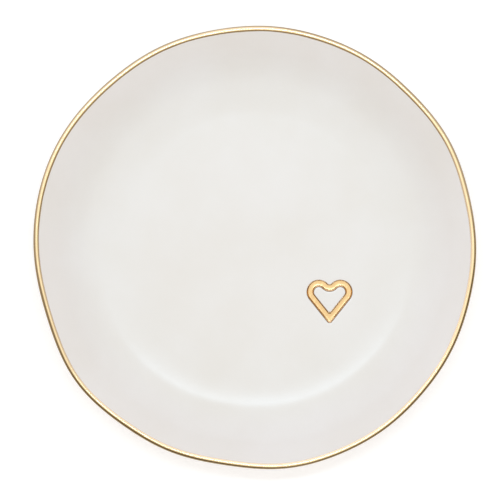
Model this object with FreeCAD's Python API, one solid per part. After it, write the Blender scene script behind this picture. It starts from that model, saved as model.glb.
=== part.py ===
"""Ring dish: a hand-formed round ceramic dish with a gilded lip and a gilded stamp in its floor.

Millimetres and degrees. The origin is on the table under the middle of the dish, +Z is up
and -Y is the side that faces the person using it.
"""
import FreeCAD
import Part
import math
import os

# Overall size
RIM_DIAMETER = 108.0  # over the gilding, mean of the wandering outline
DISH_HEIGHT = 15.5  # table to the top of the gilded lip

# Clay form, sizes over the glaze
WALL_SLOPE = 45.0  # inner wall above the cove, from level
OUTER_WALL_SLOPE = 60.0  # steeper, so that the wall thins towards the lip
SWEEP_RADIUS = 40.0  # inside, the slow curve in which the floor begins to rise
SWEEP_TURN = 8.0  # slope that it reaches
COVE_RADIUS = 17.0  # inside, from there into the wall
SHOULDER_RADIUS = 14.0  # outside, underside into wall
FLOOR_THICKNESS = 3.7
LIP_THICKNESS = 1.3  # a full half-round

# Foot ring
FOOT_INSET = 8.3  # from the edge of the flat underside
FOOT_WIDTH = 3.4
FOOT_CLEARANCE = 1.6  # glazed underside above the table
FOOT_EDGE = 0.6  # rounding of the wiped edges

# Coats
GLAZE = 0.25
GOLD = 0.12
GOLD_INSIDE = 0.25  # gilding carried below the lip's rounding, down the inner wall
GOLD_OUTSIDE = 0.9  # and down the outer wall

# Heart stamped in the floor as one line of even width
HEART_OUT = 0.69  # its middle, as a share of the way from the centre to the edge of the flat floor
HEART_BEARING = -35.7  # from +X
HEART_WIDTH = 11.6
HEART_STROKE = 2.1  # width of the line at the floor's surface
HEART_OVERLAP = 0.5  # how far the two upper rounds pass the heart's middle line
HEART_DROP = 6.9  # centres of the rounds down to the centre of the rounded tip
HEART_TIP = 0.9  # outer radius of the tip
HEART_CORNER = 0.5  # least radius inside the tip and in the cleft
HEART_DEPTH = 0.5
HEART_DRAFT = 40.0  # lean of its sides from upright

# The outline wanders as hand-formed clay does: (lobes, reach, bearing of one crest)
WANDER = (
    (2, 0.16, 130.0),
    (3, 0.08, 60.0),
    (4, 0.12, 45.0),
    (5, 0.20, 10.0),
    (6, 0.14, 42.0),
    (7, 0.08, 18.0),
    (8, 0.05, 29.0),
    (10, 0.07, 34.0),
    (11, 0.06, 20.0),
    (12, 0.06, 3.0),
    (13, 0.05, 0.0),
)
BEARINGS = 72  # control points round each outline

# Levels and centres worked out from the sizes above
UNDERSIDE = FOOT_CLEARANCE
CLAY_UNDERSIDE = UNDERSIDE + GLAZE
FLOOR = UNDERSIDE + FLOOR_THICKNESS
CLAY_FLOOR = FLOOR - GLAZE
LIP_RADIUS = LIP_THICKNESS / 2
LIP_R = RIM_DIAMETER / 2 - GOLD - LIP_RADIUS
LIP_Z = DISH_HEIGHT - GOLD - LIP_RADIUS


def tangent_angle(from_r, from_z, to_r, to_z, gap):
    """Slope of the line that passes `gap` farther out from the first centre than from the second."""
    run = math.hypot(to_r - from_r, to_z - from_z)
    return math.atan2(to_z - from_z, to_r - from_r) + math.asin(gap / run)


# The inner wall is the straight line of its slope that touches the lip and the cove; the flat
# floor ends where the sweep that leads into the cove begins
INNER_SLOPE = math.radians(WALL_SLOPE)
SWEEP_SLOPE = math.radians(SWEEP_TURN)
SWEEP_Z = FLOOR + SWEEP_RADIUS
COVE_Z = SWEEP_Z - (SWEEP_RADIUS - COVE_RADIUS) * math.cos(SWEEP_SLOPE)
WALL_REACH = (COVE_Z - LIP_Z) * math.cos(INNER_SLOPE) + LIP_R * math.sin(INNER_SLOPE) - LIP_RADIUS
COVE_R = (WALL_REACH - COVE_RADIUS) / math.sin(INNER_SLOPE)
FLOOR_R = COVE_R - (SWEEP_RADIUS - COVE_RADIUS) * math.sin(SWEEP_SLOPE)

# The outer wall is the straight line of its slope that touches the lip and the shoulder
OUTER_SLOPE = math.radians(OUTER_WALL_SLOPE)
OUTER_REACH = LIP_R * math.sin(OUTER_SLOPE) - LIP_Z * math.cos(OUTER_SLOPE) + LIP_RADIUS
SHOULDER_Z = UNDERSIDE + SHOULDER_RADIUS
SHOULDER_R = (OUTER_REACH - SHOULDER_RADIUS + SHOULDER_Z * math.cos(OUTER_SLOPE)) / math.sin(OUTER_SLOPE)
FOOT_RADIUS = SHOULDER_R - FOOT_INSET
FOOT_BORE = FOOT_RADIUS - FOOT_WIDTH

# The heart
HEART_LOBE = (HEART_WIDTH / 2 + HEART_OVERLAP) / 2  # radius of the two upper rounds
HEART_X = HEART_OUT * FLOOR_R * math.cos(math.radians(HEART_BEARING))
HEART_Y = HEART_OUT * FLOOR_R * math.sin(math.radians(HEART_BEARING))


def polar(centre_r, centre_z, radius, angle):
    """Point (r, z) of a circle in the dish's section."""
    return (centre_r + radius * math.cos(angle), centre_z + radius * math.sin(angle))


def line(start, end):
    """Straight stretch of a section: control points (r, z, weight)."""
    return [(*start, 1.0), (*end, 1.0)]


def arc(centre_r, centre_z, radius, start, end):
    """Round stretch of a section, less than half a turn."""
    half = (end - start) / 2
    corner = polar(centre_r, centre_z, radius / math.cos(half), start + half)
    first = polar(centre_r, centre_z, radius, start)
    last = polar(centre_r, centre_z, radius, end)
    return [(*first, 1.0), (*corner, math.cos(half)), (*last, 1.0)]


def section(cover):
    """Named stretches of the section, `cover` above the glaze surface (below it if negative)."""
    up = math.pi / 2
    cove = arc(COVE_R, COVE_Z, COVE_RADIUS - cover, SWEEP_SLOPE - up, INNER_SLOPE - up)
    lip_inside = arc(LIP_R, LIP_Z, LIP_RADIUS + cover, INNER_SLOPE + up, up)
    lip_outside = arc(LIP_R, LIP_Z, LIP_RADIUS + cover, up, OUTER_SLOPE - up)
    shoulder = arc(SHOULDER_R, SHOULDER_Z, SHOULDER_RADIUS + cover, OUTER_SLOPE - up, -up)
    return {
        "sweep": arc(FLOOR_R, SWEEP_Z, SWEEP_RADIUS - cover, -up, SWEEP_SLOPE - up),
        "cove": cove,
        "wall": line(cove[-1][:2], lip_inside[0][:2]),
        "lip_inside": lip_inside,
        "lip_outside": lip_outside,
        "outer_wall": line(lip_outside[-1][:2], shoulder[0][:2]),
        "shoulder": shoulder,
    }


INSIDE = ("sweep", "cove", "wall", "lip_inside")
OUTSIDE = ("lip_outside", "outer_wall", "shoulder")


def wander(bearing):
    """How far the lip lies outside its mean circle at a bearing."""
    return sum(reach * math.cos(lobes * (bearing - math.radians(crest))) for lobes, reach, crest in WANDER)


def outline_poles(r, z):
    """Control points of the closed outline through (r, z): round at the foot, wandering at the lip."""
    share = max(0.0, (z - CLAY_UNDERSIDE) / (LIP_Z - CLAY_UNDERSIDE))
    step = 2 * math.pi / BEARINGS
    outset = 3 / (2 + math.cos(step))
    poles = []
    for i in range(BEARINGS):
        radius = outset * (r + share * wander(i * step))
        poles.append(FreeCAD.Vector(radius * math.cos(i * step), radius * math.sin(i * step), z))
    return poles


KNOTS = list(range(BEARINGS + 1))
SINGLE = [1] * (BEARINGS + 1)


def band(stretch):
    """Face swept round the dish by one stretch of the section."""
    rows = [outline_poles(r, z) for r, z, _ in stretch]
    weights = [[weight] * BEARINGS for _, _, weight in stretch]
    degree = len(stretch) - 1
    ends = [degree + 1, degree + 1]
    surface = Part.BSplineSurface()
    surface.buildFromPolesMultsKnots(
        rows, ends, SINGLE, [0, 1], KNOTS, False, True, degree, 3, weights
    )
    return surface.toShape()


def disc(r, z):
    """Flat face that fills the outline through (r, z)."""
    curve = Part.BSplineCurve()
    curve.buildFromPolesMultsKnots(outline_poles(r, z), SINGLE, KNOTS, True, 3)
    return Part.Face(Part.Wire([curve.toShape()]))


def close_up(faces):
    """Solid bounded by faces that meet edge to edge."""
    shell = Part.makeShell(faces)
    shell.sewShape()
    solid = Part.makeSolid(Part.Shell(shell.Faces))
    if solid.Volume < 0:
        solid.reverse()
    return solid


def heart_wire(inset, z):
    """Heart outline, `inset` inside the outer edge of the line."""
    lobe_x = HEART_LOBE - HEART_OVERLAP
    lobe = HEART_LOBE - inset
    side = tangent_angle(0, -HEART_DROP, lobe_x, 0, HEART_TIP - HEART_LOBE)
    tip = max(HEART_TIP - inset, HEART_CORNER)
    tip_y = (inset + tip - HEART_TIP) / math.cos(side) - HEART_DROP
    cleft = HEART_CORNER + inset
    cleft_y = math.sqrt((HEART_LOBE + HEART_CORNER) ** 2 - lobe_x ** 2)
    meet = math.atan2(cleft_y, -lobe_x)

    def right(centre_x, centre_y, radius, angle):
        return FreeCAD.Vector(*polar(centre_x, centre_y, radius, angle), 0)

    def left(point):
        return FreeCAD.Vector(-point.x, point.y, 0)

    lobe_start = right(lobe_x, 0, lobe, meet)
    lobe_top = right(lobe_x, 0, lobe, meet / 2)
    lobe_end = right(lobe_x, 0, lobe, side - math.pi / 2)
    tip_start = right(0, tip_y, tip, side - math.pi / 2)
    wire = Part.Wire([
        Part.Arc(left(lobe_start), FreeCAD.Vector(0, cleft_y - cleft, 0), lobe_start).toShape(),
        Part.Arc(lobe_start, lobe_top, lobe_end).toShape(),
        Part.makeLine(lobe_end, tip_start),
        Part.Arc(tip_start, FreeCAD.Vector(0, tip_y - tip, 0), left(tip_start)).toShape(),
        Part.makeLine(left(tip_start), left(lobe_end)),
        Part.Arc(left(lobe_end), left(lobe_top), left(lobe_start)).toShape(),
    ])
    middle = (HEART_LOBE - HEART_DROP - HEART_TIP) / 2
    wire.translate(FreeCAD.Vector(HEART_X, HEART_Y - middle, z))
    return wire


def heart_line(cover, top):
    """Filling of the stamped line up to `top`, its sides and bottom `cover` inside the glaze surface."""
    draft = math.radians(HEART_DRAFT)
    bottom = FLOOR - HEART_DEPTH + cover

    def side(z):
        return (FLOOR - z) * math.tan(draft) + cover / math.cos(draft)

    outer = [heart_wire(side(z), z) for z in (bottom, top)]
    island = [heart_wire(HEART_STROKE - side(z), z) for z in (bottom, top)]
    return Part.makeLoft(outer, True, True).cut(Part.makeLoft(island, True, True))


def clay_body():
    """Floor, wall and lip of bare clay, with the heart pressed into the floor."""
    parts = section(-GLAZE)
    faces = [band(stretch) for stretch in parts.values()]
    faces.append(disc(FLOOR_R, CLAY_FLOOR))
    faces.append(disc(SHOULDER_R, CLAY_UNDERSIDE))
    return close_up(faces).cut(heart_line(-GLAZE, FLOOR))


def foot_ring():
    """Wiped ring of bare clay that the dish stands on."""
    ring = Part.makeCylinder(FOOT_RADIUS, CLAY_UNDERSIDE)
    ring = ring.cut(Part.makeCylinder(FOOT_BORE, CLAY_UNDERSIDE))
    table_edges = [edge for edge in ring.Edges if edge.BoundBox.ZMax < CLAY_UNDERSIDE / 2]
    return ring.makeFillet(FOOT_EDGE, table_edges)


def well_glaze():
    """Coat poured inside: floor and wall up to the top of the lip, lining the heart."""
    clay = section(-GLAZE)
    glaze = section(0.0)
    faces = [band(skin[name]) for skin in (clay, glaze) for name in INSIDE]
    faces.append(disc(FLOOR_R, CLAY_FLOOR))
    faces.append(disc(FLOOR_R, FLOOR))
    faces.append(band(line(clay["lip_inside"][-1][:2], glaze["lip_inside"][-1][:2])))
    coat = close_up(faces).fuse(heart_line(-GLAZE, CLAY_FLOOR)).removeSplitter()
    return coat.cut(heart_line(0.0, FLOOR))


def outer_glaze():
    """Coat outside, from the top of the lip down to the foot ring."""
    clay = section(-GLAZE)
    glaze = section(0.0)
    faces = [band(skin[name]) for skin in (clay, glaze) for name in OUTSIDE]
    for skin in (clay, glaze):
        flat_r, flat_z = skin["shoulder"][-1][:2]
        faces.append(band(line((flat_r, flat_z), (FOOT_RADIUS, flat_z))))
    faces.append(band(line(clay["lip_outside"][0][:2], glaze["lip_outside"][0][:2])))
    faces.append(band(line((FOOT_RADIUS, CLAY_UNDERSIDE), (FOOT_RADIUS, UNDERSIDE))))
    return close_up(faces)


def base_glaze():
    """Coat in the round recess inside the foot ring."""
    return Part.makeCylinder(FOOT_BORE, GLAZE, FreeCAD.Vector(0, 0, UNDERSIDE))


def down_wall(start, slope, run):
    """Point `run` below the start along a wall of this slope."""
    return (start[0] - run * math.cos(slope), start[1] - run * math.sin(slope))


def gold_rim():
    """Gilding over the rounded lip, carried a little way down both sides."""
    faces = []
    inner_ends = []
    outer_ends = []
    for cover in (0.0, GOLD):
        skin = section(cover)
        inner_start = skin["lip_inside"][0][:2]
        outer_start = skin["lip_outside"][-1][:2]
        inner_ends.append(down_wall(inner_start, INNER_SLOPE, GOLD_INSIDE))
        outer_ends.append(down_wall(outer_start, OUTER_SLOPE, GOLD_OUTSIDE))
        faces.append(band(line(inner_ends[-1], inner_start)))
        faces.append(band(skin["lip_inside"]))
        faces.append(band(skin["lip_outside"]))
        faces.append(band(line(outer_start, outer_ends[-1])))
    faces.append(band(line(*inner_ends)))
    faces.append(band(line(*outer_ends)))
    return close_up(faces)


def gold_heart():
    """Gilding that lines the stamped heart up to the floor's surface."""
    return heart_line(0.0, FLOOR).cut(heart_line(GOLD, FLOOR))


NODES = {
    "clay_body": clay_body,
    "foot_ring": foot_ring,
    "well_glaze": well_glaze,
    "outer_glaze": outer_glaze,
    "base_glaze": base_glaze,
    "gold_rim": gold_rim,
    "gold_heart": gold_heart,
}

os.makedirs("parts", exist_ok=True)
for node, make in NODES.items():
    shape = make()
    if len(shape.Solids) != 1 or not shape.isValid():
        raise ValueError(node + " is not one sound solid")
    shape.Solids[0].exportStep("parts/" + node + ".step")
    print(node, round(shape.Volume, 1), "mm3")
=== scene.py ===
"""Ring dish: white glazed stoneware, gilded lip, gilded heart stamped in the floor.

Sizes of the dish are in millimetres and MM turns them to metres; studio and camera are in metres.
The frame is the CAD frame: origin on the table under the middle of the dish, +Z up, +Y to the top
of the photograph.
"""
import math

import bmesh
import bpy
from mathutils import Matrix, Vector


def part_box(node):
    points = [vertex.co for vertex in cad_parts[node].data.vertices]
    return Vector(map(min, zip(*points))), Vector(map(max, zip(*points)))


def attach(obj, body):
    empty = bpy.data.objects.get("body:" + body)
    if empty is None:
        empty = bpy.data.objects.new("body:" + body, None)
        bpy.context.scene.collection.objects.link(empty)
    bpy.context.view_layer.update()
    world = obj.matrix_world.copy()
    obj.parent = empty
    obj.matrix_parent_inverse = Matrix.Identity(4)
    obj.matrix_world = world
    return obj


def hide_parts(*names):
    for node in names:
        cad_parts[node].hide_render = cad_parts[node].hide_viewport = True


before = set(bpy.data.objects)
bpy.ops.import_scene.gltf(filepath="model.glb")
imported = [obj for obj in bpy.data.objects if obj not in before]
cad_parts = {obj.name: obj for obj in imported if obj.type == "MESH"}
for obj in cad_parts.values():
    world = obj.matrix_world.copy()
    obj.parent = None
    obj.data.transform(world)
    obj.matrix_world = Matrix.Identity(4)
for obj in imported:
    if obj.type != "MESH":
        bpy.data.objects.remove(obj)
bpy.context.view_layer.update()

MM = 0.001

# Levels and coats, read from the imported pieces
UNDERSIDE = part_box("base_glaze")[0][2] / MM
CLAY_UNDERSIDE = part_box("base_glaze")[1][2] / MM
GLAZE = CLAY_UNDERSIDE - UNDERSIDE
FOOT_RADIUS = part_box("foot_ring")[1][0] / MM
FOOT_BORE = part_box("base_glaze")[1][0] / MM
LIP_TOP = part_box("well_glaze")[1][2] / MM
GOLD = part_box("gold_rim")[1][2] / MM - LIP_TOP
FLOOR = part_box("gold_heart")[1][2] / MM
HEART_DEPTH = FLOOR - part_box("gold_heart")[0][2] / MM
HEART_WIDTH = (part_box("gold_heart")[1][0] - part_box("gold_heart")[0][0]) / MM
HEART_CENTRE = [(low + high) / 2 / MM for low, high in zip(*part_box("gold_heart"))]

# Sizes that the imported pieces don't show, the same as the solids'
RIM_RADIUS = 54.0  # over the gold, mean of the wandering outline
INNER_SLOPE = math.radians(45.0)
OUTER_SLOPE = math.radians(60.0)
SWEEP_RADIUS = 40.0
SWEEP_SLOPE = math.radians(8.0)
COVE_RADIUS = 17.0
SHOULDER_RADIUS = 14.0
LIP_RADIUS = 0.65
FOOT_EDGE = 0.6
GOLD_INSIDE = 0.25
GOLD_OUTSIDE = 0.9
HEART_STROKE = 2.1
HEART_OVERLAP = 0.5
HEART_DROP = 6.9
HEART_TIP = 0.9
HEART_CORNER = 0.5

# The hand-formed outline: (lobes round it, how far they reach, bearing of one crest in degrees)
WANDER = (
    (2, 0.16, 130.0),
    (3, 0.08, 60.0),
    (4, 0.12, 45.0),
    (5, 0.20, 10.0),
    (6, 0.14, 42.0),
    (7, 0.08, 18.0),
    (8, 0.05, 29.0),
    (10, 0.07, 34.0),
    (11, 0.06, 20.0),
    (12, 0.06, 3.0),
    (13, 0.05, 0.0),
)

LIP_R = RIM_RADIUS - GOLD - LIP_RADIUS
LIP_Z = LIP_TOP - LIP_RADIUS


def wall_lines(cover):
    """Inner and outer wall as (slope, reach): the points with r*sin - z*cos = reach."""
    lines = []
    for slope, side in ((INNER_SLOPE, -1), (OUTER_SLOPE, 1)):
        centre = LIP_R * math.sin(slope) - LIP_Z * math.cos(slope)
        lines.append((slope, centre + side * (LIP_RADIUS + cover)))
    return lines


def on_level(wall, z):
    """Point of a wall line at a level."""
    slope, reach = wall
    return ((reach + z * math.cos(slope)) / math.sin(slope), z)


def floor_corners(wall, cover):
    """Corners (r, z, rounding) of the section where the floor sweeps up and turns into the wall."""
    sweep = SWEEP_RADIUS - cover
    cove = COVE_RADIUS - cover
    run = sweep * math.tan(SWEEP_SLOPE / 2) + cove * math.tan((INNER_SLOPE - SWEEP_SLOPE) / 2)
    r, z = on_level(wall, FLOOR + cover + run * math.sin(SWEEP_SLOPE))
    return [(r - run * math.cos(SWEEP_SLOPE), FLOOR + cover, sweep), (r, z, cove)]


def lip_corner(inner, outer):
    """Where the two wall lines would meet above the lip."""
    (a, p), (b, q) = inner, outer
    turn = math.sin(a - b)
    return ((p * math.cos(b) - q * math.cos(a)) / turn, (p * math.sin(b) - q * math.sin(a)) / turn)


def below_lip(wall, side, cover, run):
    """Point on a wall line, `run` below the end of the lip's rounding on that side."""
    slope, _ = wall
    radius = side * (LIP_RADIUS + cover)
    r = LIP_R + radius * math.sin(slope) - run * math.cos(slope)
    z = LIP_Z - radius * math.cos(slope) - run * math.sin(slope)
    return (r, z)


def linear(code):
    """sRGB hex to linear colour."""
    parts = [int(code[i:i + 2], 16) / 255 for i in (1, 3, 5)]
    return (*[c / 12.92 if c <= 0.04045 else ((c + 0.055) / 1.055) ** 2.4 for c in parts], 1.0)


def add(tree, kind, inputs=None, **settings):
    """Add a node with its settings; an input takes a value, a socket, or a node's first output."""
    made = tree.nodes.new(kind)
    for name, value in settings.items():
        setattr(made, name, value)
    for key, value in (inputs or {}).items():
        if isinstance(value, bpy.types.Node):
            value = value.outputs[0]
        if isinstance(value, bpy.types.NodeSocket):
            tree.links.new(value, made.inputs[key])
        else:
            made.inputs[key].default_value = value
    return made


# Sockets of a Mix node that mixes colours
SHARE, FIRST, SECOND, MIXED = 0, 6, 7, 2

GLAZE_WHITE = "#EAE8E3"
INNER_GAP = "inner_gap"  # attribute: distance from the inner edge of the gilding


def new_material(name):
    """Material with an empty node tree."""
    material = bpy.data.materials.new(name)
    material.use_nodes = True
    material.node_tree.nodes.clear()
    return material, material.node_tree


def white_glaze():
    """Opaque white glaze fired on stoneware: warm white, satin gloss, a slow mottle where the coat
    varies, a fine orange-peel skin and a few faint iron specks."""
    material, tree = new_material("opaque_white_glaze_fired")
    where = add(tree, "ShaderNodeTexCoord").outputs["Object"]
    mottle = add(tree, "ShaderNodeTexNoise", {
        "Vector": where, "Scale": 1 / (16 * MM), "Detail": 3.0})
    tone = add(tree, "ShaderNodeMapRange", {"Value": mottle, "From Min": 0.3, "From Max": 0.7})
    body = add(tree, "ShaderNodeMix", {
        SHARE: tone, FIRST: linear(GLAZE_WHITE), SECOND: linear("#EDECE9")}, data_type="RGBA")
    cells = add(tree, "ShaderNodeTexVoronoi", {"Vector": where, "Scale": 1 / (7 * MM)})
    near = add(tree, "ShaderNodeMapRange", {
        "Value": cells, "From Min": 0.03, "From Max": 0.015, "To Max": 0.5})
    chosen = add(tree, "ShaderNodeSeparateColor", {"Color": cells.outputs["Color"]})
    few = add(tree, "ShaderNodeMath", {0: chosen, 1: 0.9}, operation="GREATER_THAN")
    speck = add(tree, "ShaderNodeMath", {0: near, 1: few}, operation="MULTIPLY")
    colour = add(tree, "ShaderNodeMix", {
        SHARE: speck, FIRST: body.outputs[MIXED], SECOND: linear("#A89A86")}, data_type="RGBA")
    gloss = add(tree, "ShaderNodeTexNoise", {"Vector": where, "Scale": 1 / (5 * MM), "Detail": 2.0})
    rough = add(tree, "ShaderNodeMapRange", {"Value": gloss, "To Min": 0.2, "To Max": 0.27})
    peel = add(tree, "ShaderNodeTexNoise", {
        "Vector": where, "Scale": 1 / (2.2 * MM), "Detail": 2.0})
    skin = add(tree, "ShaderNodeBump", {"Height": peel, "Strength": 0.35, "Distance": 0.02 * MM})
    shader = add(tree, "ShaderNodeBsdfPrincipled", {
        "Base Color": colour.outputs[MIXED], "Roughness": rough, "IOR": 1.5,
        "Specular IOR Level": 0.35, "Normal": skin})
    add(tree, "ShaderNodeOutputMaterial", {"Surface": shader})
    return material


def gold_lustre(name, body, thin_and_shade_colour, thin_and_shade_bands, sway, along, feather=0.0):
    """Liquid gold brushed on the glaze and fired: a bright metal film with the brush's streaks,
    browner in random patches where it draws thin, and browner from the first to the second of each
    given pair of band ends. On the lip that brown band is painted dark reflection; in the stamp it
    is partly the film drawing thin and partly painted shade. In the stamp the band ends are levels,
    and on the lip distances from the inner edge of the gilding, where an edge `feather` wide lets
    the glaze through. They sway with the film's thickness. The streaks are stretched along the
    brush's way, the more the smaller `along` is."""
    material, tree = new_material(name)
    where = add(tree, "ShaderNodeTexCoord").outputs["Object"]
    place = add(tree, "ShaderNodeSeparateXYZ", {"Vector": where})
    flat = add(tree, "ShaderNodeVectorMath", {0: where, 1: (1.0, 1.0, 0.0)}, operation="MULTIPLY")
    out = add(tree, "ShaderNodeVectorMath", {0: flat}, operation="LENGTH").outputs["Value"]
    drawn = add(tree, "ShaderNodeVectorMath", {0: flat, "Scale": along}, operation="SCALE")
    across = add(tree, "ShaderNodeCombineXYZ", {"Z": out})
    streaks = add(tree, "ShaderNodeVectorMath", {0: drawn, 1: across}, operation="ADD")
    # Single hairs leave streaks of about 0.1 mm; these are as coarse as they need to be to show
    brush = add(tree, "ShaderNodeTexNoise", {
        "Vector": streaks, "W": place.outputs["Z"], "Scale": 1 / (0.5 * MM), "Detail": 2.0},
        noise_dimensions="4D")
    film = add(tree, "ShaderNodeTexNoise", {
        "Vector": where, "W": 16.0, "Scale": 1 / (60 * MM), "Detail": 3.0}, noise_dimensions="4D")
    if feather:
        run = add(tree, "ShaderNodeAttribute", attribute_name=INNER_GAP).outputs["Fac"]
        cover = add(tree, "ShaderNodeMapRange", {
            "Value": run, "From Min": 0.0, "From Max": feather * MM})
    else:
        run = place.outputs["Z"]
        cover = 1.0
    shift = add(tree, "ShaderNodeMapRange", {
        "Value": film, "To Min": -sway * MM, "To Max": sway * MM})
    shifted = add(tree, "ShaderNodeMath", {0: run, 1: shift}, operation="ADD")
    # Brown bands: painted dark reflection on the lip, painted shade and thin film in the stamp
    edge = 1.0
    for band_start, band_full in thin_and_shade_bands:
        stretch = add(tree, "ShaderNodeMapRange", {
            "Value": shifted, "From Min": band_start * MM, "From Max": band_full * MM})
        edge = add(tree, "ShaderNodeMath", {0: edge, 1: stretch}, operation="MINIMUM")
    patch = add(tree, "ShaderNodeMapRange", {
        "Value": film, "From Min": 0.45, "From Max": 0.75, "To Max": 0.35})
    # Browner in random thin patches and in the painted bands
    thin_and_shade_share = add(tree, "ShaderNodeMath", {0: patch, 1: edge}, operation="MAXIMUM")
    gold = add(tree, "ShaderNodeMix", {
        SHARE: thin_and_shade_share, FIRST: linear(body), SECOND: linear(thin_and_shade_colour)}, data_type="RGBA")
    colour = add(tree, "ShaderNodeMix", {
        SHARE: cover, FIRST: linear(GLAZE_WHITE), SECOND: gold.outputs[MIXED]}, data_type="RGBA")
    rough = add(tree, "ShaderNodeMapRange", {
        "Value": brush, "From Min": 0.3, "From Max": 0.7, "To Min": 0.12, "To Max": 0.24})
    skin = add(tree, "ShaderNodeBump", {"Height": brush, "Strength": 0.3, "Distance": 0.02 * MM})
    shader = add(tree, "ShaderNodeBsdfPrincipled", {
        "Base Color": colour.outputs[MIXED], "Metallic": cover, "Roughness": rough, "Normal": skin})
    add(tree, "ShaderNodeOutputMaterial", {"Surface": shader})
    return material


def bare_stoneware():
    """Unglazed stoneware, wiped before firing: dry, buff and gritty, with dark grog grains."""
    material, tree = new_material("bare_stoneware_wiped")
    where = add(tree, "ShaderNodeTexCoord").outputs["Object"]
    cloud = add(tree, "ShaderNodeTexNoise", {"Vector": where, "Scale": 1 / (6 * MM), "Detail": 4.0})
    body = add(tree, "ShaderNodeMix", {
        SHARE: cloud, FIRST: linear("#D8C9B4"), SECOND: linear("#CDBBA3")}, data_type="RGBA")
    grains = add(tree, "ShaderNodeTexVoronoi", {"Vector": where, "Scale": 1 / (0.9 * MM)})
    dark = add(tree, "ShaderNodeMapRange", {
        "Value": grains, "From Min": 0.22, "From Max": 0.1, "To Max": 0.5})
    colour = add(tree, "ShaderNodeMix", {
        SHARE: dark, FIRST: body.outputs[MIXED], SECOND: linear("#9C8468")}, data_type="RGBA")
    grit = add(tree, "ShaderNodeTexNoise", {
        "Vector": where, "Scale": 1 / (0.35 * MM), "Detail": 3.0})
    skin = add(tree, "ShaderNodeBump", {"Height": grit, "Strength": 0.6, "Distance": 0.06 * MM})
    shader = add(tree, "ShaderNodeBsdfPrincipled", {
        "Base Color": colour.outputs[MIXED], "Roughness": 0.85, "Normal": skin})
    add(tree, "ShaderNodeOutputMaterial", {"Surface": shader})
    return material


ROUNDING_STEPS = 40  # points round each corner of a section
WELD = 0.002  # points nearer than this become one
BRUSH_REACH = 0.35  # how far from a gilded edge its waver is felt
BRUSH_FULL = 0.1  # and where it is full
MOUTH_Z = 52.0  # point over the middle of the dish that the waves face


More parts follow.
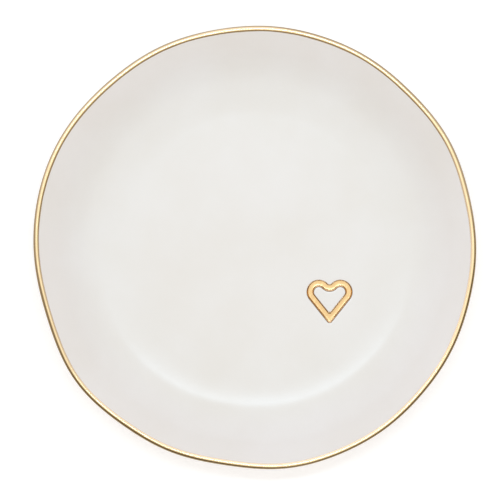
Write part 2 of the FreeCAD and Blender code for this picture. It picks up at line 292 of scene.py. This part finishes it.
def dish_form():
    """Node tree that turns a drawn section (x = radius, z = height, point radius = rounding) round
    the dish's axis, lets it wander towards the lip and gives the wall its hand-formed waves."""
    tree = bpy.data.node_groups.new("dish_form", "GeometryNodeTree")
    wanted = [
        ("Section", "Geometry"), ("Steps round", "Int"), ("Steps along", "Int"),
        ("Wander from", "Float"), ("Wander full", "Float"), ("Wave height", "Float"),
        ("Wave width", "Float"), ("Wave from", "Float"), ("Wave to", "Float"),
        ("Inner edge", "Vector"), ("Outer edge", "Vector"), ("Edge waver", "Float"),
        ("Finish", "Material"),
    ]
    wanted += [("Reach of %d lobes" % lobes, "Float") for lobes, _, _ in WANDER]
    sockets = {}
    for name, kind in wanted:
        made = tree.interface.new_socket(name, in_out="INPUT", socket_type="NodeSocket" + kind)
        sockets[name] = made.identifier
    tree.interface.new_socket("Form", in_out="OUTPUT", socket_type="NodeSocketGeometry")
    given = add(tree, "NodeGroupInput").outputs

    # A sheet of points: across it the bearing, up it the way along the section
    rounding = add(tree, "GeometryNodeInputRadius")
    drawn = add(tree, "GeometryNodeFilletCurve", {
        "Curve": given["Section"], "Count": ROUNDING_STEPS, "Radius": rounding}, mode="POLY")
    sheet = add(tree, "GeometryNodeMeshGrid", {
        "Size X": 1.0, "Size Y": 1.0,
        "Vertices X": given["Steps round"], "Vertices Y": given["Steps along"]})
    spot = add(tree, "ShaderNodeSeparateXYZ", {"Vector": add(tree, "GeometryNodeInputPosition")})
    bearing = add(tree, "ShaderNodeMapRange", {
        "Value": spot, "From Min": -0.5, "From Max": 0.5, "To Max": 2 * math.pi})
    along = add(tree, "ShaderNodeMath", {0: spot.outputs["Y"], 1: 0.5}, operation="ADD")
    traced = add(tree, "GeometryNodeSampleCurve", {
        "Curves": drawn, "Factor": along}, mode="FACTOR", use_all_curves=True).outputs["Position"]

    # The brush doesn't hold an even edge: points near a gilded edge slide along the wall
    compass = add(tree, "ShaderNodeVectorRotate", {
        "Vector": (1.0, 0.0, 0.0), "Angle": bearing}, rotation_type="Z_AXIS")
    gaps = []
    for edge, slope, turn in (("Inner edge", INNER_SLOPE, 0.0), ("Outer edge", OUTER_SLOPE, 7.0)):
        gap = add(tree, "ShaderNodeVectorMath", {0: traced, 1: given[edge]}, operation="DISTANCE")
        gaps.append(gap.outputs["Value"])
        close = add(tree, "ShaderNodeMapRange", {
            "Value": gaps[-1], "From Min": BRUSH_REACH * MM, "From Max": BRUSH_FULL * MM},
            interpolation_type="SMOOTHSTEP")
        hand = add(tree, "ShaderNodeTexNoise", {
            "Vector": compass, "W": turn, "Scale": 9.0, "Detail": 2.0}, noise_dimensions="4D")
        hand = add(tree, "ShaderNodeMath", {0: hand, 1: 0.5}, operation="SUBTRACT")
        slide = add(tree, "ShaderNodeMath", {0: hand, 1: close}, operation="MULTIPLY")
        slide = add(tree, "ShaderNodeMath", {
            0: slide, 1: given["Edge waver"]}, operation="MULTIPLY")
        step = add(tree, "ShaderNodeVectorMath", {
            0: (math.cos(slope), 0.0, math.sin(slope)), "Scale": slide}, operation="SCALE")
        traced = add(tree, "ShaderNodeVectorMath", {0: traced, 1: step}, operation="ADD")

    # The outline wanders more the nearer the lip
    reach = 0.0
    for lobes, _, crest in WANDER:
        swing = add(tree, "ShaderNodeMath", {
            0: bearing, 1: lobes, 2: -lobes * math.radians(crest)}, operation="MULTIPLY_ADD")
        swing = add(tree, "ShaderNodeMath", {0: swing}, operation="COSINE")
        reach = add(tree, "ShaderNodeMath", {
            0: swing, 1: given["Reach of %d lobes" % lobes], 2: reach}, operation="MULTIPLY_ADD")
    height = add(tree, "ShaderNodeSeparateXYZ", {"Vector": traced}).outputs["Z"]
    share = add(tree, "ShaderNodeMapRange", {
        "Value": height, "From Min": given["Wander from"], "From Max": given["Wander full"]},
        clamp=False)
    share = add(tree, "ShaderNodeMath", {0: share, 1: 0.0}, operation="MAXIMUM")
    swell = add(tree, "ShaderNodeMath", {0: share, 1: reach}, operation="MULTIPLY")
    swell = add(tree, "ShaderNodeCombineXYZ", {"X": swell})
    grown = add(tree, "ShaderNodeVectorMath", {0: traced, 1: swell}, operation="ADD")
    placed = add(tree, "ShaderNodeVectorRotate", {
        "Vector": grown, "Angle": bearing}, rotation_type="Z_AXIS")
    noted = add(tree, "GeometryNodeStoreNamedAttribute", {
        "Geometry": sheet, "Name": INNER_GAP, "Value": gaps[0]})
    turned = add(tree, "GeometryNodeSetPosition", {"Geometry": noted, "Position": placed})
    closed = add(tree, "GeometryNodeMergeByDistance", {"Geometry": turned, "Distance": WELD * MM})

    # Slow waves left by the hands, towards the mouth of the dish and back, none at floor and lip
    now = add(tree, "GeometryNodeInputPosition")
    size = add(tree, "ShaderNodeMath", {0: 1.0, 1: given["Wave width"]}, operation="DIVIDE")
    wave = add(tree, "ShaderNodeTexNoise", {"Vector": now, "Scale": size, "Detail": 1.0})
    wave = add(tree, "ShaderNodeMath", {0: wave, 1: 0.5}, operation="SUBTRACT")
    rise = add(tree, "ShaderNodeMapRange", {
        "Value": add(tree, "ShaderNodeSeparateXYZ", {"Vector": now}).outputs["Z"],
        "From Min": given["Wave from"], "From Max": given["Wave to"], "To Max": math.pi})
    hump = add(tree, "ShaderNodeMath", {0: rise}, operation="SINE")
    lift = add(tree, "ShaderNodeMath", {0: wave, 1: hump}, operation="MULTIPLY")
    lift = add(tree, "ShaderNodeMath", {0: lift, 1: given["Wave height"]}, operation="MULTIPLY")
    mouth = add(tree, "ShaderNodeVectorMath", {
        0: (0.0, 0.0, MOUTH_Z * MM), 1: now}, operation="SUBTRACT")
    mouth = add(tree, "ShaderNodeVectorMath", {0: mouth}, operation="NORMALIZE")
    push = add(tree, "ShaderNodeVectorMath", {0: mouth, "Scale": lift}, operation="SCALE")
    waved = add(tree, "GeometryNodeSetPosition", {"Geometry": closed, "Offset": push})
    smooth = add(tree, "GeometryNodeSetShadeSmooth", {"Geometry": waved})
    real = add(tree, "GeometryNodeRealizeInstances", {"Geometry": smooth})
    done = add(tree, "GeometryNodeSetMaterial", {"Geometry": real, "Material": given["Finish"]})
    add(tree, "NodeGroupOutput", {"Form": done})
    return tree, sockets


INNER, OUTER = wall_lines(0.0)
CLAY_INNER, CLAY_OUTER = wall_lines(-GLAZE)
GOLD_INNER, GOLD_OUTER = wall_lines(GOLD)
FORM, FORM_INPUTS = dish_form()


def turn_section(name, points, finish, closed, steps_round, steps_along, **extra):
    """Mesh of a section [(r, z, rounding)] turned by the dish_form tree; `extra` sets its other
    inputs."""
    drawing = bpy.data.curves.new(name + "_section", "CURVE")
    drawing.dimensions = "3D"
    spline = drawing.splines.new("POLY")
    spline.points.add(len(points) - 1)
    spline.use_cyclic_u = closed
    for point, (r, z, rounding) in zip(spline.points, points):
        point.co = (r * MM, 0, z * MM, 1)
        point.radius = rounding * MM
    holder = bpy.data.objects.new(name + "_section", drawing)
    bpy.context.collection.objects.link(holder)
    values = {
        "Steps round": steps_round + 1, "Steps along": steps_along + 1,
        "Wander from": CLAY_UNDERSIDE * MM, "Wander full": LIP_Z * MM,
        "Wave height": 0.0, "Wave width": 20 * MM, "Wave from": FLOOR * MM, "Wave to": LIP_Z * MM,
        "Edge waver": 0.0, "Finish": finish}
    values.update({"Reach of %d lobes" % lobes: reach * MM for lobes, reach, _ in WANDER})
    values.update({key.replace("_", " ").capitalize(): value for key, value in extra.items()})
    modifier = holder.modifiers.new("dish_form", "NODES")
    modifier.node_group = FORM
    for key, value in values.items():
        modifier[FORM_INPUTS[key]] = value
    bpy.context.view_layer.update()
    mesh = bpy.data.meshes.new_from_object(
        holder.evaluated_get(bpy.context.evaluated_depsgraph_get()))
    holder.modifiers.remove(modifier)
    bpy.data.objects.remove(holder)
    bpy.data.curves.remove(drawing)
    return mesh


TRUE_EDGE = math.radians(50.0)  # faces that turn by more than this meet in a sharp edge


def finish_piece(name, mesh, finish, node):
    """Object from a mesh: normals out, smooth but for true edges, riding with the dish."""
    bm = bmesh.new()
    bm.from_mesh(mesh)
    bmesh.ops.recalc_face_normals(bm, faces=bm.faces)
    for face in bm.faces:
        face.smooth = True
        face.material_index = 0
    bm.to_mesh(mesh)
    bm.free()
    mesh.name = name
    mesh.materials.clear()
    mesh.materials.append(finish)
    mesh.set_sharp_from_angle(angle=TRUE_EDGE)
    piece = bpy.data.objects.new(name, mesh)
    bpy.context.collection.objects.link(piece)
    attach(piece, "root")
    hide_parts(node)


def round_arc(centre, radius, start, end, steps):
    """Points of an arc, ends included."""
    turns = [start + (end - start) * i / steps for i in range(steps + 1)]
    return [(centre[0] + radius * math.cos(a), centre[1] + radius * math.sin(a)) for a in turns]


CLEFT_STEPS, LOBE_STEPS, SIDE_STEPS, TIP_STEPS = 10, 48, 16, 12
LEAST_RADIUS = 0.05  # of the cleft, on the rows outside the stamped line


def heart_loop(inset):
    """Closed heart outline, `inset` inside the outer edge of the stamped line, as (x, y)."""
    lobe_full = (HEART_WIDTH / 2 + HEART_OVERLAP) / 2
    lobe_x = lobe_full - HEART_OVERLAP
    lobe = lobe_full - inset
    run = math.hypot(lobe_x, HEART_DROP)
    slope = math.atan2(HEART_DROP, lobe_x) + math.asin((HEART_TIP - lobe_full) / run)
    side = slope - math.pi / 2
    tip = max(HEART_TIP - inset, HEART_CORNER)
    tip_y = (inset + tip - HEART_TIP) / math.cos(slope) - HEART_DROP
    cleft = max(HEART_CORNER + inset, LEAST_RADIUS)
    cleft_y = math.sqrt((lobe + cleft) ** 2 - lobe_x ** 2)
    meet = math.atan2(cleft_y, -lobe_x)
    half = round_arc((0, cleft_y), cleft, -math.pi / 2, meet - math.pi, CLEFT_STEPS)
    half += round_arc((lobe_x, 0), lobe, meet, side, LOBE_STEPS)[1:]
    (x0, y0), (x1, y1) = half[-1], round_arc((0, tip_y), tip, side, 0, 1)[0]
    shares = [i / SIDE_STEPS for i in range(1, SIDE_STEPS)]
    half += [(x0 + (x1 - x0) * share, y0 + (y1 - y0) * share) for share in shares]
    half += round_arc((0, tip_y), tip, side, -math.pi / 2, TIP_STEPS)
    loop = half + [(-x, y) for x, y in half[-2:0:-1]]
    middle = (lobe_full - HEART_DROP - HEART_TIP) / 2
    return [(x + HEART_CENTRE[0], y + HEART_CENTRE[1] - middle) for x, y in loop]


def stamped_line():
    """Section across the stamped line as [(inset, drop, lean)]: the glaze dips towards it, rounds
    over its edge, goes down a steep side and lies a little hollow in the bottom."""
    dip = math.radians(8.0)
    steep = math.radians(55.0)
    hollow = math.radians(4.0)
    # (radius, lean at its start, lean at its end, steps)
    bends = (
        (3.0, 0.0, dip, 4),
        (0.25, dip, steep, 8),
        (-0.2, steep, hollow, 7),
        (-7.0, hollow, 0.0, 6),
    )
    sunk = sum(radius * (math.cos(start) - math.cos(end)) for radius, start, end, _ in bends)
    straight = (HEART_DEPTH - sunk) / math.sin(steep)
    x, drop = 0.0, 0.0
    path = [(x, drop, 0.0)]
    for radius, start, end, steps in bends:
        if start == steep:
            x += straight * math.cos(steep)
            drop += straight * math.sin(steep)
            path.append((x, drop, steep))
        for i in range(1, steps + 1):
            lean = start + (end - start) * i / steps
            path.append((x + radius * (math.sin(lean) - math.sin(start)),
                         drop + radius * (math.cos(start) - math.cos(lean)), lean))
        x, drop, _ = path[-1]
    near = [(spot[0] - x + HEART_STROKE / 2, *spot[1:]) for spot in path]
    return near + [(HEART_STROKE - inset, drop, -lean) for inset, drop, lean in near[-2::-1]]


def raised(path, cover):
    """The same section, `cover` nearer to the eye."""
    return [
        (x + cover * math.sin(lean), drop - cover * math.cos(lean), lean) for x, drop, lean in path]


STAMP_SLANT = 0.5  # the stamp went in leaning towards +Y


def loops_mesh(bm, path, level):
    """Rows of vertices that follow the heart, with faces between them."""
    rows = []
    for inset, drop, _ in path:
        slant = STAMP_SLANT * drop
        loop = [(x * MM, (y + slant) * MM, (level - drop) * MM) for x, y in heart_loop(inset)]
        rows.append([bm.verts.new(spot) for spot in loop])
    for low, high in zip(rows, rows[1:]):
        for i in range(len(low)):
            j = (i + 1) % len(low)
            bm.faces.new((low[i], low[j], high[j], high[i]))
    return rows


def loop_edges(bm, row):
    """Edges of a closed row of vertices."""
    edges = []
    for a, b in zip(row, row[1:] + row[:1]):
        edges.append(bm.edges.get((a, b)) or bm.edges.new((a, b)))
    return edges


STAMPED = stamped_line()
# Level rows beside the stamped line, outside it and on the island inside the heart
OUTER_FLAT = [(STAMPED[0][0] - margin, 0.0, 0.0) for margin in (1.2, 0.6, 0.25)]
ISLAND_FLAT = [(STAMPED[-1][0] + margin, 0.0, 0.0) for margin in (0.15, 0.35)]


SAME_LEVEL = 0.01  # how near an open edge lies to the level that is filled


def floor_with_heart(mesh):
    """Fill the floor of the inside coat, above and below, round the stamped heart."""
    bm = bmesh.new()
    bm.from_mesh(mesh)
    rim_edges = [edge for edge in bm.edges if edge.is_boundary]
    for level, cover in ((FLOOR, 0.0), (FLOOR - GLAZE, -GLAZE)):
        ring = [
            edge for edge in rim_edges
            if abs(edge.verts[0].co.z - level * MM) < SAME_LEVEL * MM]
        side = raised(OUTER_FLAT + STAMPED + ISLAND_FLAT, cover)
        rows = loops_mesh(bm, side, FLOOR)
        bmesh.ops.triangle_fill(bm, use_beauty=True, edges=ring + loop_edges(bm, rows[0]))
        bmesh.ops.triangle_fill(bm, use_beauty=True, edges=loop_edges(bm, rows[-1]))
    bm.to_mesh(mesh)
    bm.free()


FILM_TOP = 0.045  # the gold ends this far below the floor
FILM_FEATHER = 3  # rows in which it thins out
FILM_SUNK = 0.02  # its lower side, in the glaze


def gilded_heart():
    """Gold film in the stamped line, feathered out part way up its rounded edges."""
    film = [spot for spot in STAMPED if spot[1] > FILM_TOP]
    last = len(film) - 1
    bm = bmesh.new()
    top = []
    for i, spot in enumerate(film):
        share = min(1.0, i / FILM_FEATHER, (last - i) / FILM_FEATHER)
        top += raised([spot], GOLD * share)
    sunk = raised(film[1:-1], -FILM_SUNK)
    rows = loops_mesh(bm, top + sunk[::-1], FLOOR)
    first, final = rows[0], rows[-1]
    for i in range(len(first)):
        j = (i + 1) % len(first)
        bm.faces.new((final[i], final[j], first[j], first[i]))
    mesh = bpy.data.meshes.new("heart_gilding")
    bm.to_mesh(mesh)
    bm.free()
    return mesh


GLAZE_FINISH = white_glaze()
# On the lip, the brown band from 0.84 to 1.66 mm from the inner edge of the gilding, round the
# outer side of the lip, is painted dark reflection; beyond it the gold comes back
RIM_GOLD = gold_lustre(
    "gold_lustre_brushed_on_lip", "#EBD2A4", "#99825A",
    thin_and_shade_bands=((0.84, 1.12), (1.66, 1.57)), sway=0.6, along=0.12, feather=0.3)
# In the stamp, the darker brown at the tops of the line's sides is partly the film drawing thin and
# partly painted shade
HEART_GOLD = gold_lustre(
    "gold_lustre_in_stamp", "#EBC78F", "#957758",
    thin_and_shade_bands=((FLOOR - 0.12, FLOOR - 0.04),), sway=0.025, along=0.3)
BARE = bare_stoneware()

# Inside coat: flat floor's edge, wall and inner half of the lip, then back along the clay
FLOOR_EDGE = 32.0  # inside it the floor is filled round the heart
inside = turn_section("well_glaze_coat", [
    (FLOOR_EDGE, FLOOR, 0), *floor_corners(INNER, 0.0),
    (*on_level(INNER, LIP_TOP), LIP_RADIUS), (LIP_R, LIP_TOP, 0),
    (LIP_R, LIP_TOP - GLAZE, 0), (*on_level(CLAY_INNER, LIP_TOP - GLAZE), LIP_RADIUS - GLAZE),
    *floor_corners(CLAY_INNER, -GLAZE)[::-1], (FLOOR_EDGE, FLOOR - GLAZE, 0),
], GLAZE_FINISH, closed=False, steps_round=320, steps_along=170, wave_height=0.2 * MM)
floor_with_heart(inside)
finish_piece("well_glaze_coat", inside, GLAZE_FINISH, "well_glaze")

# Outside coat: lip, outer wall and shoulder to the foot, where it ends in a rounded roll
ROLL = 0.2  # the coat's thickness down the foot's side
ROLL_DROP = 0.5
ROLL_FILLET = 0.7  # between underside and roll
ROLL_NOSE = 0.12
outside = turn_section("outer_glaze_coat", [
    (LIP_R, LIP_TOP, 0), (*on_level(OUTER, LIP_TOP), LIP_RADIUS),
    (*on_level(OUTER, UNDERSIDE), SHOULDER_RADIUS), (FOOT_RADIUS + ROLL, UNDERSIDE, ROLL_FILLET),
    (FOOT_RADIUS + ROLL, UNDERSIDE - ROLL_DROP, ROLL_NOSE), (FOOT_RADIUS, UNDERSIDE - ROLL_DROP, 0),
    (FOOT_RADIUS, CLAY_UNDERSIDE, 0),
    (*on_level(CLAY_OUTER, CLAY_UNDERSIDE), SHOULDER_RADIUS - GLAZE),
    (*on_level(CLAY_OUTER, LIP_TOP - GLAZE), LIP_RADIUS - GLAZE), (LIP_R, LIP_TOP - GLAZE, 0),
], GLAZE_FINISH, closed=True, steps_round=320, steps_along=220)
finish_piece("outer_glaze_coat", outside, GLAZE_FINISH, "outer_glaze")

base = turn_section("base_glaze_pool", [
    (0, UNDERSIDE, 0), (FOOT_BORE - ROLL, UNDERSIDE, ROLL_FILLET),
    (FOOT_BORE - ROLL, UNDERSIDE - ROLL_DROP, ROLL_NOSE), (FOOT_BORE, UNDERSIDE - ROLL_DROP, 0),
    (FOOT_BORE, CLAY_UNDERSIDE, 0), (0, CLAY_UNDERSIDE, 0),
], GLAZE_FINISH, closed=False, steps_round=200, steps_along=160)
finish_piece("base_glaze_pool", base, GLAZE_FINISH, "base_glaze")

foot = turn_section("bare_foot_ring", [
    (FOOT_BORE, 0, FOOT_EDGE), (FOOT_RADIUS, 0, FOOT_EDGE),
    (FOOT_RADIUS, CLAY_UNDERSIDE, 0), (FOOT_BORE, CLAY_UNDERSIDE, 0),
], BARE, closed=True, steps_round=240, steps_along=60)
finish_piece("bare_foot_ring", foot, BARE, "foot_ring")

# Gilding over the lip, feathered out at both edges
FEATHER = 0.12  # the way in which the film reaches its full thickness
FILM_EDGE = 0.02  # rounding of the film's ends
FILM_TAPER = 0.05  # and of its outer face where it begins to thin out
inner_edge = below_lip(INNER, -1, 0.0, GOLD_INSIDE)
outer_edge = below_lip(OUTER, 1, 0.0, GOLD_OUTSIDE)
band = turn_section("lip_gilding", [
    (*inner_edge, FILM_EDGE),
    (*below_lip(GOLD_INNER, -1, GOLD, GOLD_INSIDE - FEATHER), FILM_EDGE),
    (*lip_corner(GOLD_INNER, GOLD_OUTER), LIP_RADIUS + GOLD),
    (*below_lip(GOLD_OUTER, 1, GOLD, GOLD_OUTSIDE - FEATHER), FILM_TAPER),
    (*outer_edge, FILM_EDGE),
    (*lip_corner(INNER, OUTER), LIP_RADIUS),
], RIM_GOLD, closed=True, steps_round=400, steps_along=110, edge_waver=0.4 * MM,
    inner_edge=(inner_edge[0] * MM, 0.0, inner_edge[1] * MM),
    outer_edge=(outer_edge[0] * MM, 0.0, outer_edge[1] * MM))
finish_piece("lip_gilding", band, RIM_GOLD, "gold_rim")

finish_piece("heart_gilding", gilded_heart(), HEART_GOLD, "gold_heart")

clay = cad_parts["clay_body"]
clay.data.materials.clear()
clay.data.materials.append(BARE)


def shows(tree):
    """1 for rays that show floor and room to the eye, in gloss too, and 0 for those that light."""
    path = add(tree, "ShaderNodeLightPath").outputs
    look = add(tree, "ShaderNodeMath", {
        0: path["Is Camera Ray"], 1: path["Is Glossy Ray"]}, operation="MAXIMUM")
    return add(tree, "ShaderNodeMath", {
        0: look, 1: path["Is Transmission Ray"]}, operation="MAXIMUM")


# Linear colours of what stands round the dish
TENT_SIDES = (0.963, 0.849, 0.838, 1.0)
TENT_TOP = (0.785, 0.875, 0.815, 1.0)
NEAR_WALL = (0.3, 0.25, 0.2, 1.0)
WINDOW_WALL = (1.35, 1.36, 1.7, 1.0)
CEILING = (1.25, 1.25, 1.25, 1.0)
FLOOR_GLOW = 0.25
TOWARDS_WINDOW = (-0.25, 0.97, 0.0)


def studio():
    """Pale floor, a room with a white ceiling and one dim side, and a strip light overhead."""
    material, tree = new_material("pale_studio_floor")
    paper = add(tree, "ShaderNodeBsdfDiffuse", {"Color": linear("#F4F4F3")})
    bright = add(tree, "ShaderNodeMath", {0: shows(tree), 1: FLOOR_GLOW}, operation="MULTIPLY")
    glow = add(tree, "ShaderNodeEmission", {"Strength": bright})
    both = add(tree, "ShaderNodeAddShader", {0: paper, 1: glow})
    add(tree, "ShaderNodeOutputMaterial", {"Surface": both})
    mesh = bpy.data.meshes.new("studio_floor")
    half = 4.0
    corners = [(-half, -half, 0), (half, -half, 0), (half, half, 0), (-half, half, 0)]
    mesh.from_pydata(corners, [], [(0, 1, 2, 3)])
    mesh.materials.append(material)
    floor = bpy.data.objects.new("studio_floor", mesh)
    bpy.context.collection.objects.link(floor)

    lamp = bpy.data.lights.new("strip_softbox", "AREA")
    lamp.shape = "RECTANGLE"
    lamp.size, lamp.size_y = 0.42, 0.06
    lamp.energy = 1.52
    lamp.color = (0.65, 0.84, 1.0)
    strip = bpy.data.objects.new("strip_softbox", lamp)
    strip.location = (-0.015, 0.187, 1.0)
    strip.rotation_euler = strip.location.to_track_quat("Z", "Y").to_euler()
    bpy.context.collection.objects.link(strip)

    world = bpy.data.worlds.new("studio_room")
    bpy.context.scene.world = world
    world.use_nodes = True
    tree = world.node_tree
    tree.nodes.clear()
    toward = add(tree, "ShaderNodeTexCoord").outputs["Generated"]
    up = add(tree, "ShaderNodeSeparateXYZ", {"Vector": toward}).outputs["Z"]
    # What lights the dish: a white tent, warm at its sides and cooler overhead, where the strip is
    overhead = add(tree, "ShaderNodeMapRange", {
        "Value": up, "From Min": 0.65, "From Max": 0.95}, interpolation_type="SMOOTHSTEP")
    tent = add(tree, "ShaderNodeMix", {
        SHARE: overhead, FIRST: TENT_SIDES, SECOND: TENT_TOP}, data_type="RGBA")
    # What gold and gloss mirror: the room round it, with a white ceiling, light walls on the
    # window's side, towards +Y, and dim ones on the near side
    window = add(tree, "ShaderNodeVectorMath", {
        0: toward, 1: TOWARDS_WINDOW}, operation="DOT_PRODUCT").outputs["Value"]
    side = add(tree, "ShaderNodeMapRange", {"Value": window, "From Min": -0.35, "From Max": 0.55})
    walls = add(tree, "ShaderNodeMix", {
        SHARE: side, FIRST: NEAR_WALL, SECOND: WINDOW_WALL}, data_type="RGBA")
    ceiling = add(tree, "ShaderNodeMapRange", {
        "Value": up, "From Min": 0.65, "From Max": 0.92}, interpolation_type="SMOOTHSTEP")
    room = add(tree, "ShaderNodeMix", {
        SHARE: ceiling, FIRST: walls.outputs[MIXED], SECOND: CEILING}, data_type="RGBA")
    around = add(tree, "ShaderNodeMix", {
        SHARE: shows(tree), FIRST: tent.outputs[MIXED], SECOND: room.outputs[MIXED]},
        data_type="RGBA")
    sky = add(tree, "ShaderNodeBackground", {"Color": around.outputs[MIXED], "Strength": 1.0})
    add(tree, "ShaderNodeOutputWorld", {"Surface": sky})


studio()

# Camera straight above, framed as the photograph
PIXELS = 500
RIM_PIXELS = 221.9  # half the dish's width in the picture
OFF_CENTRE = (4.85, 2.26)  # the dish's middle, right of and above the picture's
CAMERA_ABOVE_LIP = 0.8
scale = RIM_PIXELS / (RIM_RADIUS * MM)
camera_data = bpy.data.cameras.new("overhead_camera")
camera_data.sensor_width = 36.0
camera_data.lens = camera_data.sensor_width * scale * CAMERA_ABOVE_LIP / PIXELS
camera = bpy.data.objects.new("overhead_camera", camera_data)
camera.location = (-OFF_CENTRE[0] / scale, -OFF_CENTRE[1] / scale, LIP_Z * MM + CAMERA_ABOVE_LIP)
bpy.context.collection.objects.link(camera)
bpy.context.scene.camera = camera
bpy.context.scene.view_settings.view_transform = "Standard"
